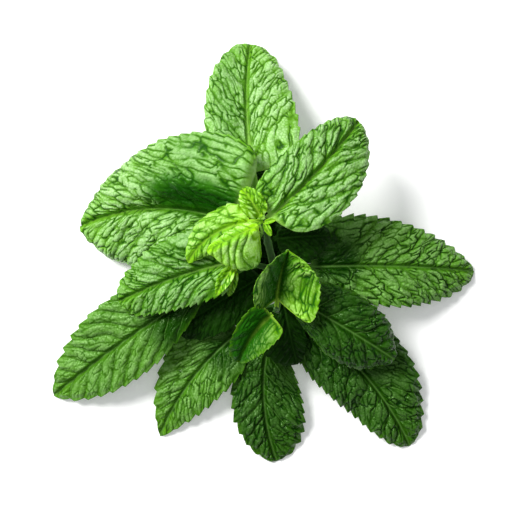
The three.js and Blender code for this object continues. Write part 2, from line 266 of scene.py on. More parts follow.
def stem_material():
    material = bpy.data.materials.new("stem_skin")
    material.use_nodes = True
    nodes, links = material.node_tree.nodes, material.node_tree.links
    shader = nodes["Principled BSDF"]
    ridge = nodes.new("ShaderNodeAttribute")
    ridge.attribute_name = "ridge"
    cut = nodes.new("ShaderNodeAttribute")
    cut.attribute_name = "cut"
    place = nodes.new("ShaderNodeTexCoord")
    streak = nodes.new("ShaderNodeTexNoise")
    streak.inputs["Scale"].default_value = 900
    streak.inputs["Detail"].default_value = 3
    links.new(place.outputs["Object"], streak.inputs["Vector"])
    skin = nodes.new("ShaderNodeMix")
    skin.data_type = "RGBA"
    skin.inputs["A"].default_value = (0.012, 0.055, 0.004, 1)
    skin.inputs["B"].default_value = (0.035, 0.12, 0.010, 1)
    links.new(streak.outputs["Fac"], skin.inputs["Factor"])
    edge = nodes.new("ShaderNodeMix")
    edge.data_type = "RGBA"
    edge.inputs["B"].default_value = (0.11, 0.26, 0.05, 1)
    links.new(ridge.outputs["Fac"], edge.inputs["Factor"])
    links.new(skin.outputs["Result"], edge.inputs["A"])
    wound = nodes.new("ShaderNodeMix")
    wound.data_type = "RGBA"
    wound.inputs["B"].default_value = (0.42, 0.50, 0.22, 1)
    links.new(cut.outputs["Fac"], wound.inputs["Factor"])
    links.new(edge.outputs["Result"], wound.inputs["A"])
    links.new(wound.outputs["Result"], shader.inputs["Base Color"])
    bump = nodes.new("ShaderNodeBump")
    bump.inputs["Strength"].default_value = 0.4
    bump.inputs["Distance"].default_value = 0.0001
    links.new(streak.outputs["Fac"], bump.inputs["Height"])
    links.new(bump.outputs["Normal"], shader.inputs["Normal"])
    shader.inputs["Roughness"].default_value = 0.5
    shader.inputs["Subsurface Weight"].default_value = 0.15
    shader.inputs["Subsurface Radius"].default_value = (0.5, 1.0, 0.2)
    shader.inputs["Subsurface Scale"].default_value = 0.0008
    return material


STEM_SKIN = stem_material()


def shoot_start(parent, parent_next, shoot_node):
    """Where a side shoot begins, just inside its parent's skin."""
    away = unit(node_place(shoot_node) - node_place(parent))
    axis = unit(node_place(parent_next) - node_place(parent))
    cosine = abs(float(away @ axis))
    clear = NODE_HALF[parent] * SHOOT_SUNK
    return node_place(parent) + away * clear / math.sqrt(1 - cosine ** 2)


def finish_piece(piece, node, material):
    piece.data.materials.append(material)
    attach(piece, "root")
    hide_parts(node)


for name, node, names, start in (
    ("stem_main", "main_stem", ["cut", "low", "middle", "high", "top"], None),
    ("stem_left_shoot", "left_side_shoot", ["left_bend", "left_tip"],
     shoot_start("middle", "high", "left_bend")),
    ("stem_near_shoot", "near_side_shoot", ["near_bend", "near_tip"],
     shoot_start("middle", "low", "near_bend")),
):
    finish_piece(stem_piece(name, names, start), node, STEM_SKIN)


# ---------------------------------------------------------------- full-grown lower leaves
# Dark, leathery blades from the older nodes, each grown in one piece with its
# channelled stalk. Side veins run out from the midrib in curved pairs, the skin
# puckers up between them, and the margin is cut into forward-pointing teeth.
# Part of their darkness is painted shade.

STALK_GAP = 0.3                             # from the stem's corner to the stalk
CELL = 0.20      # finest grid step on a blade
MOST_FACES = 185000                         # triangles one leaf may have
LATTICE = 64                                # cells before the noise repeats
SEED_STEP = 10                              # seeds kept for one leaf's own noises
SHEET_HALF = 0.14                           # half the blade's thickness between its ribs
THINNEST = 0.12                             # where a low leaf is pressed on the table


def value_noise(x, y, seed):
    """Smooth noise from -1 to 1 with a lattice of one unit."""
    rng = np.random.default_rng(seed)
    lattice = rng.uniform(-1, 1, (LATTICE, LATTICE))
    xi, yi = np.floor(x).astype(int), np.floor(y).astype(int)
    fx, fy = x - xi, y - yi
    fx, fy = fx * fx * (3 - 2 * fx), fy * fy * (3 - 2 * fy)
    a = lattice[xi % LATTICE, yi % LATTICE]
    b = lattice[(xi + 1) % LATTICE, yi % LATTICE]
    c = lattice[xi % LATTICE, (yi + 1) % LATTICE]
    d = lattice[(xi + 1) % LATTICE, (yi + 1) % LATTICE]
    return (a * (1 - fx) + b * fx) * (1 - fy) + (c * (1 - fx) + d * fx) * fy


def vein_cells(x, y, jitter, seed):
    """Distance to the border of a net of cells, one cell per unit square."""
    rng = np.random.default_rng(seed)
    drift = rng.uniform(-0.5, 0.5, (LATTICE, LATTICE, 2)) * jitter
    xi, yi = np.floor(x).astype(int), np.floor(y).astype(int)
    far_off = 9e9
    near = np.full(x.shape, far_off)
    near_x, near_y = np.zeros(x.shape), np.zeros(x.shape)
    seeds = []
    for i in range(-2, 3):
        for j in range(-2, 3):
            shift = drift[(xi + i) % LATTICE, (yi + j) % LATTICE]
            sx, sy = xi + i + 0.5 + shift[..., 0], yi + j + 0.5 + shift[..., 1]
            seeds.append((sx, sy))
            gap = (sx - x) ** 2 + (sy - y) ** 2
            take = gap < near
            near = np.where(take, gap, near)
            near_x, near_y = np.where(take, sx, near_x), np.where(take, sy, near_y)
    border = np.full(x.shape, far_off)
    for sx, sy in seeds:
        dx, dy = sx - near_x, sy - near_y
        span = np.sqrt(dx * dx + dy * dy)
        other = span > 1e-6
        mid_x, mid_y = (sx + near_x) / 2, (sy + near_y) / 2
        gap = ((mid_x - x) * dx + (mid_y - y) * dy) / np.maximum(span, 1e-6)
        border = np.where(other & (gap < border), gap, border)
    return border


def dome(distance, reach):
    """Rises from 0 at the border to 1 at the reach, rounded like a cushion."""
    share = np.clip(distance / reach, 0, 1)
    return 1 - (1 - share) ** 2


def midrib_frames(leaf, along):
    """Position, forward, left and up directions at each share of the length."""
    steps = 4 * (len(along) - 1) + 1
    share = np.linspace(0, 1, steps)
    climb = np.radians(leaf["rise"] + (leaf["fall"] - leaf["rise"]) * share ** leaf["bow"])
    heading = np.radians(leaf["heading"] + leaf["turn"] * share)
    forward = np.stack([np.cos(climb) * np.cos(heading), np.cos(climb) * np.sin(heading),
                        np.sin(climb)], -1)
    stride = leaf["length"] / (steps - 1)
    reach = leaf.get("off", NODE_HALF[leaf["node"]] * math.sqrt(2) + STALK_GAP)
    start = node_place(leaf["node"]) + [
        reach * math.cos(heading[0]), reach * math.sin(heading[0]), leaf["lift"]]
    place = np.vstack([start, start + np.cumsum((forward[1:] + forward[:-1]) / 2 * stride, 0)])
    left = np.stack([-np.sin(heading), np.cos(heading), 0 * heading], -1)
    up = np.cross(forward, left)
    return place[::4], forward[::4], left[::4], up[::4]


def half_width(side, share):
    """Half width along the blade, widest where the base and tip powers put it."""
    half, base, tip = side[:3]
    peak = (base / (base + tip)) ** base * (tip / (base + tip)) ** tip
    return half * share ** base * (1 - share) ** tip / peak


def leaf_relief(leaf, length_mm, lateral_mm, width_mm, seed):
    """Height of the puckered skin with its vein masks, all in millimetres."""
    gap = leaf["vein_gap"]
    slant = leaf.get("lean", 1.0)
    away = np.abs(lateral_mm)
    side_seed = np.where(lateral_mm > 0, 0.0, 37.3)
    wander = (value_noise(length_mm / 7 + side_seed, away / 7, seed) * 0.28
              + value_noise(length_mm / 2.6 + side_seed, away / 2.6, seed + 6) * 0.07)
    lean = slant * smooth(length_mm / np.maximum(away, 0.5), 0.0, 1.6)
    origin = length_mm - lean * away - 0.012 * away ** 2
    order = origin / gap + np.where(lateral_mm > 0, 0.0, 0.45) + wander
    to_vein = np.abs(order - np.round(order))
    stretch = math.sqrt(1 + slant ** 2)
    across = gap / stretch
    vein_mm = to_vein * across
    row = order * leaf["ranks"]
    shake = leaf["cell_long"] * 0.30
    bend = value_noise(length_mm / 2.2 + 5 + side_seed, lateral_mm / 2.2, seed + 7) * shake
    step = away * stretch / leaf["cell_long"] + bend / leaf["cell_long"]
    net = vein_cells(row + side_seed + 0.3 * bend, step + 0.5 * np.mod(np.floor(row), 2),
                     0.95, seed + 1)
    net_mm = net * min(across / leaf["ranks"], leaf["cell_long"])
    fine = vein_cells(length_mm / 0.95 + side_seed, lateral_mm / 0.95, 0.95, seed + 2) * 0.95
    patch = 1 + 0.5 * value_noise(length_mm / 4 + 11 + side_seed, away / 4, seed + 3)
    # the net of small veins is strong in places and all but gone in others
    faintest = 0.22
    strong = leaf.get("net", 1.0) * np.clip(
        0.86 + 0.9 * value_noise(length_mm / 2.4 + 8 + side_seed, lateral_mm / 2.4, seed + 8),
        faintest, 1)
    pillow_dome, fine_dome = dome(2 * to_vein, 0.9), dome(fine, 0.34)
    net_dome = 1 - (1 - dome(net_mm, 0.80)) * (0.35 + 0.65 * strong)
    rim = smooth(width_mm - away, 0.1, 2.0)
    core = 1 - np.exp(-(away / 0.8) ** 2)
    height = (leaf["pillow"] * pillow_dome * (0.3 + 0.7 * rim)
              + leaf["blister"] * net_dome * patch * (0.4 + 0.6 * rim)
              + leaf["grain"] * fine_dome) * core
    # the midrib is broad and pale by the stalk, and thin and fainter further out
    rib_thin = 0.30
    broad_base, show = leaf.get("rib_base", 0.34), leaf.get("rib_show", 0.55)
    near_base = np.exp(-(length_mm / leaf.get("rib_long", 8.0)) ** 2)
    rib = (np.exp(-(away / (rib_thin + (broad_base - rib_thin) * near_base)) ** 2)
           * (show + (1 - show) * near_base))
    height -= leaf.get("groove", 0.3) * np.exp(-(away / 0.7) ** 2)
    taper = np.clip(1.15 - away / np.maximum(width_mm, 1), 0.3, 1)
    present = np.clip(0.85 + 0.5 * value_noise(length_mm / 5 + 2, lateral_mm / 5, seed + 4), 0, 1)
    vein = (np.exp(-(vein_mm / (0.14 * taper + 0.09)) ** 2) * present
            * smooth(width_mm - away, 0.3, 1.5))
    # crease and hill are masks for painted shade in the creases and hollows and painted highlights on
    # the tops
    crease = np.maximum(np.exp(-(net_mm / 0.19) ** 2) * strong,
                        0.25 * np.exp(-(fine / 0.08) ** 2))
    plateau = 1 - strong * (1 - dome(net_mm, 0.42))     # flat tops right up to the creases
    hill = (0.22 * pillow_dome + 0.63 * plateau + 0.15 * fine_dome) * (0.4 + 0.6 * core)
    return height, rib, vein, crease, hill


def leaf_piece(name, leaf, seed):
    """One closed leaf with its stalk: two halves folded up from the midrib."""
    widest = max(leaf["left"][0], leaf["right"][0])
    cell = max(CELL, math.sqrt(leaf["length"] * widest * 8 / MOST_FACES))
    rows = max(int(leaf["length"] / cell), 24)
    half_cols = max(int(widest / cell * 0.95), 10)
    along = np.linspace(0, 1, rows + 1)
    place, forward, left, up = midrib_frames(leaf, along)
    share = np.clip((along - leaf["stalk"]) / (1 - leaf["stalk"]), 0, 1)
    reach = np.linspace(-1, 1, 2 * half_cols + 1)
    blade_length = leaf["length"] * (1 - leaf["stalk"])

    stalk_half = np.where(share < 0.5, leaf["stalk_half"], 0)
    sheets = []
    for sign, key in ((-1, "right"), (1, "left")):
        side = leaf[key]
        width = np.maximum(half_width(side, share), stalk_half)[:, None]
        v = np.abs(reach[reach * sign >= 0])[None]
        fold = np.radians(side[3] + (side[4] - side[3]) * share)[:, None]
        curl = math.radians(side[5])
        angle = fold + curl * v
        outward = width / curl * (np.sin(angle) - np.sin(fold))
        flutter = (leaf["wave"] * v ** 2 * np.sin(math.pi * share)[:, None]
                   * np.sin(4 * math.pi * share + (0 if sign > 0 else 1.7))[:, None])
        upward = width / curl * (np.cos(fold) - np.cos(angle)) + flutter
        lobe = leaf.get("lobe" if sign < 0 else "left_lobe", 0)
        backward = lobe * width * v * (1 - share[:, None]) ** 2
        # teeth grow from the outer part of the blade and point forward
        slope, drop = 0.74, 0.26              # of one tooth's length
        beat = np.mod(along * leaf["teeth"], 1)
        saw = np.where(beat < slope, beat / slope, (1 - beat) / drop) ** 0.9
        uneven = 1 + 0.25 * value_noise(along * leaf["teeth"] * 0.7 + 5, along * 0 + sign, seed + 9)
        grow = (leaf["tooth"] * np.minimum(1, width[:, 0] / 6) * saw * uneven
                * (share > 0) * smooth(1 - share, 0, 0.04))[:, None]
        outer = smooth(v, 0.78, 1.0)
        points = (place[:, None]
                  + left[:, None] * (sign * (outward + grow * outer * np.cos(angle)))[..., None]
                  + up[:, None] * (upward + grow * outer * np.sin(angle))[..., None]
                  + forward[:, None] * (grow * outer * 0.9 - backward)[..., None])
        ease = smooth(v, 0, 0.12) * angle
        normal = (up[:, None] * np.cos(ease)[..., None]
                  - left[:, None] * (sign * np.sin(ease))[..., None])
        sheets.append((points, normal, width * v * sign, np.broadcast_to(width, angle.shape)))

    def join(k):
        return np.concatenate([sheets[0][k], sheets[1][k][:, 1:]], 1)

    base, normal, lateral, width = join(0), unit(join(1)), join(2), join(3)
    length_mm = (share * blade_length)[:, None] + 0 * lateral

    height, rib, vein, crease, hill = leaf_relief(leaf, length_mm, lateral, width, seed)
    on_blade = smooth(share, 0.0, 0.05)[:, None]
    swing = leaf.get("swing", 0.55) * value_noise(length_mm / 9 + 3, lateral / 9 + 7, seed + 5)
    swing *= smooth(np.abs(lateral), 1, 5)
    deep, wide = leaf.get("valley", (0, 1))
    channel = deep * smooth(share, 0, 0.12) * (1 - share) ** 1.4
    height = (height + swing - channel[:, None] * np.exp(-(lateral / wide) ** 2)) * on_blade
    rib = rib * on_blade + (1 - on_blade)
    vein, crease = vein * on_blade, crease * on_blade

    # the leaf's thickness: round in the stalk, thin in the blade, ribs below
    v = np.abs(lateral) / np.maximum(width, 1e-6)
    round_part = np.sqrt(np.clip(1 - v ** 2, 0, 1))
    edge = dome(width - np.abs(lateral), 0.35)
    stalk_deep = leaf["stalk_half"]
    above = (1 - on_blade) * (0.45 * stalk_deep * round_part - 0.35 * stalk_deep
                              * np.exp(-(v / 0.45) ** 2)) + on_blade * SHEET_HALF * edge
    rib_fade = (1 - 0.8 * share)[:, None]
    ribs = 0.55 * rib_fade * np.exp(-(lateral / 0.55) ** 2) + 0.25 * vein * rib_fade
    below = ((1 - on_blade) * 0.8 * stalk_deep * round_part
             + on_blade * (SHEET_HALF + ribs) * edge)
    tip_fade = smooth(1 - share, 0, 0.03)[:, None]
    top = base + normal * (height + above * tip_fade)[..., None]
    bottom = base + normal * (height - below * tip_fade)[..., None]
    margin = base + normal * height[..., None]
    top[:, 0], top[:, -1] = margin[:, 0], margin[:, -1]

    # one tip point, and the base end closed across
    cols = top.shape[1]
    upper = np.arange(rows * cols).reshape(rows, cols)
    inner = rows * cols + np.arange(rows * (cols - 2)).reshape(rows, cols - 2)
    lower = np.concatenate([upper[:, :1], inner, upper[:, -1:]], 1)
    tip = rows * cols + rows * (cols - 2)
    floor = -GROWTH_TO_FRAME[2]                # nothing dips into the table
    bottom[..., 2] = np.maximum(bottom[..., 2], floor + TABLE_CLEAR)
    top[..., 2] = np.maximum(top[..., 2], bottom[..., 2] + THINNEST)
    top[:, [0, -1]] = (top[:, [0, -1]] + bottom[:, [0, -1]]) / 2
    points = np.vstack([top[:-1].reshape(-1, 3), bottom[:-1, 1:-1].reshape(-1, 3),
                        base[-1, half_cols][None]])

    def strip(grid, flip):
        a, b, c, d = grid[:-1, :-1], grid[:-1, 1:], grid[1:, 1:], grid[1:, :-1]
        order = (a, d, c, b) if flip else (a, b, c, d)
        return np.stack(order, -1).reshape(-1, 4)

    quads = np.vstack([strip(upper, True), strip(lower, False)])
    first = np.stack([upper[0, :-1], upper[0, 1:], lower[0, 1:], lower[0, :-1]], -1)
    quads = np.vstack([quads, first[1:-1]])
    caps = [(upper[0, 0], upper[0, 1], lower[0, 1]),
            (upper[0, -2], upper[0, -1], lower[0, -2])]
    last_up = [(upper[-1, i], tip, upper[-1, i + 1]) for i in range(cols - 1)]
    last_low = [(lower[-1, i], lower[-1, i + 1], tip) for i in range(cols - 1)]
    piece = add_mesh(name, points, quads, caps + last_up + last_low)

    def spread(field, tip_value):
        return np.concatenate([field[:-1].ravel(), field[:-1, 1:-1].ravel(), [tip_value]])

    under = np.concatenate([np.zeros(rows * cols), np.ones(rows * (cols - 2)), [0]])
    put_attribute(piece, "rib", spread(rib, 0))
    put_attribute(piece, "vein", spread(vein, 0))
    put_attribute(piece, "crease", spread(crease, 0))
    put_attribute(piece, "rim", spread(1 - smooth(width - np.abs(lateral), 0, 1.1), 1))
    put_attribute(piece, "along", spread(share[:, None] + 0 * lateral, 1))
    put_attribute(piece, "hill", spread(hill, 0.3))
    # darker for older leaves, and partly painted shade: the hidden leaves and the leaves that face away
    # from the lamp are set darker
    age_and_shade = leaf.get("age_and_shade", 0) + 0 * lateral
    # painted shade: zones along the midrib near the base are darkened where folds and overlapping
    # leaves would shade them
    for painted_shade, shade_centre, shade_width, shade_end in leaf.get("painted_shade", ()):
        age_and_shade = age_and_shade + painted_shade * (np.exp(-((lateral - shade_centre) / shade_width) ** 2)
                            * (1 - smooth(share, shade_end * 0.5, shade_end))[:, None])
    age_and_shade = np.clip(age_and_shade, 0, 2)
    put_attribute(piece, "age_and_shade", spread(age_and_shade, leaf.get("age_and_shade", 0)))
    put_attribute(piece, "under", under)
    flat = np.stack([spread(length_mm, blade_length), spread(lateral, 0)], -1) * MM
    put_uv(piece, "OFBake", bake_layout(flat, under, width.max(), blade_length))
    return piece


def bake_layout(flat, under, widest, length):
    """Top sheet in the left half of the square, lower sheet in the right."""
    lateral = flat[:, 1] / MM
    u = 0.245 + lateral / widest * 0.23 + under * 0.5
    v = 0.03 + 0.94 * np.clip(flat[:, 0] / MM / length, 0, 1)
    return np.stack([u, v], -1)


def leaf_skin_group():
    """Colour, roughness and fine height of a leaf's skin from its vein masks, with painted shade in its
    hollows, creases and veins and painted highlights on its tops.
    """
    colour, number = "NodeSocketColor", "NodeSocketFloat"
    group, start, end = new_group("leaf_skin", [
        ("Hollow Shade", colour, (0.01, 0.08, 0.001, 1)), ("Blade", colour, (0.1, 0.3, 0.03, 1)),
        ("Crown Highlight", colour, (0.3, 0.5, 0.2, 1)), ("Tender", colour, (0.25, 0.5, 0.03, 1)),
        ("Aged And Shaded", colour, (0.02, 0.1, 0.01, 1)), ("Vein", colour, (0.4, 0.6, 0.2, 1)),
        ("Under", colour, (0.3, 0.45, 0.2, 1)), ("Rib Show", number, 0.5),
        ("Vein Show", number, 0.0), ("Vein Shade", number, 0.5), ("Crease Shade", number, 0.5),
        ("Crown Show", number, 0.5), ("Base Tender", number, 0.5),
        ("Tip Tender", number, 0.2), ("Gloss", number, 0.4), ("Rim Show", number, 0.4),
    ], [("Color", colour), ("Roughness", number), ("Height", number)])
    nodes, links = group.nodes, group.links

    def attribute(name):
        node = nodes.new("ShaderNodeAttribute")
        node.attribute_name = name
        return node.outputs["Fac"]

    def math_node(kind, a, b):
        node = nodes.new("ShaderNodeMath")
        node.operation = kind
        node.use_clamp = kind in ("ADD", "MULTIPLY", "SUBTRACT")
        for socket, value in zip(node.inputs, (a, b)):
            if isinstance(value, (int, float)):
                socket.default_value = value
            else:
                links.new(value, socket)
        return node.outputs[0]

    def blend(factor, a, b):
        node = nodes.new("ShaderNodeMix")
        node.data_type = "RGBA"
        links.new(factor, node.inputs["Factor"])
        links.new(a, node.inputs["A"])
        links.new(b, node.inputs["B"])
        return node.outputs["Result"]

    def noise(scale, detail):
        node = nodes.new("ShaderNodeTexNoise")
        node.inputs["Scale"].default_value = scale
        node.inputs["Detail"].default_value = detail
        links.new(place.outputs["Object"], node.inputs["Vector"])
        return node.outputs["Fac"]

    def ramp(value, low, high):
        node = nodes.new("ShaderNodeMapRange")
        node.interpolation_type = "SMOOTHSTEP"
        links.new(value, node.inputs["Value"])
        node.inputs["From Min"].default_value = low
        node.inputs["From Max"].default_value = high
        return node.outputs["Result"]

    given = start.outputs
    place = nodes.new("ShaderNodeTexCoord")
    rib, vein, crease = attribute("rib"), attribute("vein"), attribute("crease")
    rim, along, under = attribute("rim"), attribute("along"), attribute("under")
    hill, age_and_shade = attribute("hill"), attribute("age_and_shade")
    broad = ramp(noise(110, 3), 0.34, 0.66)
    cloudy = ramp(noise(480, 4), 0.3, 0.7)
    # the body darkens for older leaves and with painted shade, down to near black on the hidden leaves
    body = blend(age_and_shade, given["Blade"], given["Aged And Shaded"])
    body = blend(math_node("SUBTRACT", age_and_shade, 1.0), body, given["Hollow Shade"])
    base_zone = math_node("SUBTRACT", 1.0, ramp(along, 0.0, 0.32))
    tip_zone = ramp(along, 0.70, 1.0)
    tender = math_node("ADD", math_node("MULTIPLY", base_zone, given["Base Tender"]),
                       math_node("MULTIPLY", tip_zone, given["Tip Tender"]))
    tender = math_node("ADD", tender, math_node("MULTIPLY", broad, 0.25))
    fresh = math_node("SUBTRACT", 1.0, math_node("MULTIPLY", age_and_shade, 0.8))
    body = blend(math_node("MULTIPLY", tender, fresh), body, given["Tender"])
    # painted shade: the low places of the relief are darkened toward the shade colour
    low = math_node("SUBTRACT", 1.0, ramp(hill, 0.0, 0.62))
    tone = blend(math_node("MULTIPLY", low, 0.75), body, given["Hollow Shade"])
    # painted highlight: the flat blister tops are paled toward a highlight colour, less so near the tip
    high = math_node("MULTIPLY", ramp(hill, 0.66, 0.97), given["Crown Show"])
    high = math_node("MULTIPLY", high, math_node("ADD", cloudy, 0.35))
    high = math_node("MULTIPLY", high, fresh)
    dimmed = math_node("MULTIPLY", tip_zone, 0.5)
    high = math_node("MULTIPLY", high, math_node("SUBTRACT", 1.0, dimmed))
    tone = blend(high, tone, given["Crown Highlight"])
    tone = blend(math_node("MULTIPLY", rim, given["Rim Show"]), tone, given["Tender"])
    # painted shade along the creases and the sunken veins
    tone = blend(math_node("MULTIPLY", crease, given["Crease Shade"]), tone, given["Hollow Shade"])
    tone = blend(math_node("MULTIPLY", vein, given["Vein Shade"]), tone, given["Hollow Shade"])
    # pale thin veins: partly the veins' own paler colour, partly painted glints along the ridges
    pale_vein_and_glint = math_node("MULTIPLY", math_node("MULTIPLY", vein, vein), given["Vein Show"])
    tone = blend(pale_vein_and_glint, tone, given["Vein"])
    tone = blend(math_node("MULTIPLY", rib, given["Rib Show"]), tone, given["Vein"])
    net = blend(math_node("MULTIPLY", math_node("ADD", vein, rib), 0.7), given["Under"],
                given["Vein"])
    tone = blend(ramp(under, 0.6, 1.0), tone, net)
    links.new(tone, end.inputs["Color"])
    rough = math_node("ADD", given["Gloss"], math_node("MULTIPLY", low, 0.22))
    rough = math_node("ADD", rough, math_node("MULTIPLY", under, 0.2))
    rough = math_node("ADD", rough, math_node("MULTIPLY", cloudy, 0.10))
    links.new(rough, end.inputs["Roughness"])
    grain = nodes.new("ShaderNodeTexVoronoi")
    grain.feature = "SMOOTH_F1"
    grain.inputs["Scale"].default_value = 2300
    grain.inputs["Smoothness"].default_value = 0.35
    links.new(place.outputs["Object"], grain.inputs["Vector"])
    lumps = math_node("SUBTRACT", 1.0, grain.outputs["Distance"])
    links.new(math_node("ADD", math_node("MULTIPLY", lumps, 0.7),
                        math_node("MULTIPLY", noise(5200, 2), 0.3)), end.inputs["Height"])
    return group


LEAF_SKIN = leaf_skin_group()


def leaf_material(name, settings, sheen, glow, shine):
    """A leaf skin: sheen is its down, glow the light let through, shine its wax."""
    material = bpy.data.materials.new(name)
    material.use_nodes = True
    nodes, links = material.node_tree.nodes, material.node_tree.links
    shader = nodes["Principled BSDF"]
    skin = nodes.new("ShaderNodeGroup")
    skin.node_tree = LEAF_SKIN
    for label, value in settings.items():
        skin.inputs[label].default_value = value
    bump = nodes.new("ShaderNodeBump")
    bump.inputs["Strength"].default_value = 0.4
    bump.inputs["Distance"].default_value = 0.00014
    links.new(skin.outputs["Color"], shader.inputs["Base Color"])
    links.new(skin.outputs["Roughness"], shader.inputs["Roughness"])
    links.new(skin.outputs["Height"], bump.inputs["Height"])
    links.new(bump.outputs["Normal"], shader.inputs["Normal"])
    shader.inputs["Specular IOR Level"].default_value = shine
    shader.inputs["Specular Tint"].default_value = (0.64, 1.0, 0.46, 1)
    shader.inputs["Sheen Weight"].default_value = sheen
    shader.inputs["Sheen Roughness"].default_value = 0.45
    shader.inputs["Sheen Tint"].default_value = (0.85, 1.0, 0.8, 1)
    shader.inputs["Subsurface Weight"].default_value = glow
    shader.inputs["Subsurface Radius"].default_value = (0.45, 1.0, 0.12)
    shader.inputs["Subsurface Scale"].default_value = 0.0009
    return material


# The darkest colour here is painted shade for hollows, creases and sunken veins, and the palest a
# painted highlight for the blister tops.
LOWER_SKIN = leaf_material("lower_leaf_skin", {
    "Hollow Shade": (0.001, 0.020, 0.0002, 1), "Blade": (0.072, 0.235, 0.011, 1),
    "Crown Highlight": (0.27, 0.48, 0.16, 1), "Tender": (0.09, 0.26, 0.008, 1),
    "Aged And Shaded": (0.011, 0.060, 0.0008, 1), "Vein": (0.14, 0.32, 0.06, 1),
    "Under": (0.17, 0.30, 0.11, 1), "Rib Show": 0.7, "Vein Show": 0.42, "Vein Shade": 0.3,
    "Crease Shade": 1.0, "Crown Show": 0.55, "Base Tender": 0.0, "Tip Tender": 0.5,
    "Gloss": 0.20, "Rim Show": 0.3,
}, sheen=0.0, glow=0.0, shine=0.17)

# Near-black skin for the hidden leaves under the middle of the sprig: painted shade, much darker than a
# real leaf.
SHADED_SKIN = leaf_material("shaded_leaf_skin", {
    "Hollow Shade": (0.001, 0.010, 0.0002, 1), "Blade": (0.008, 0.040, 0.0015, 1),
    "Crown Highlight": (0.02, 0.07, 0.008, 1), "Tender": (0.012, 0.06, 0.001, 1),
    "Aged And Shaded": (0.004, 0.026, 0.001, 1), "Vein": (0.03, 0.10, 0.012, 1),
    "Under": (0.06, 0.14, 0.04, 1), "Rib Show": 0.5, "Vein Show": 0.1, "Vein Shade": 0.5,
    "Crease Shade": 0.9, "Crown Show": 0.3, "Base Tender": 0.0, "Tip Tender": 0.2,
    "Gloss": 0.38, "Rim Show": 0.1,
}, sheen=0.0, glow=0.0, shine=0.08)

# Each leaf: the node it grows from, its teeth, then in millimetres and degrees its
# length, heading, turn, and rise at the stalk against fall at the tip. Left and right
# give half width, base and tip powers, fold at base and tip, and curl. Then its veins
# and puckers, and painted shade as (amount, centre, width, end) of each zone painted
# darker to stand in for shade.
LOWER_SEED, UPPER_SEED, YOUNG_SEED, BUD_SEED = 100, 300, 500, 700

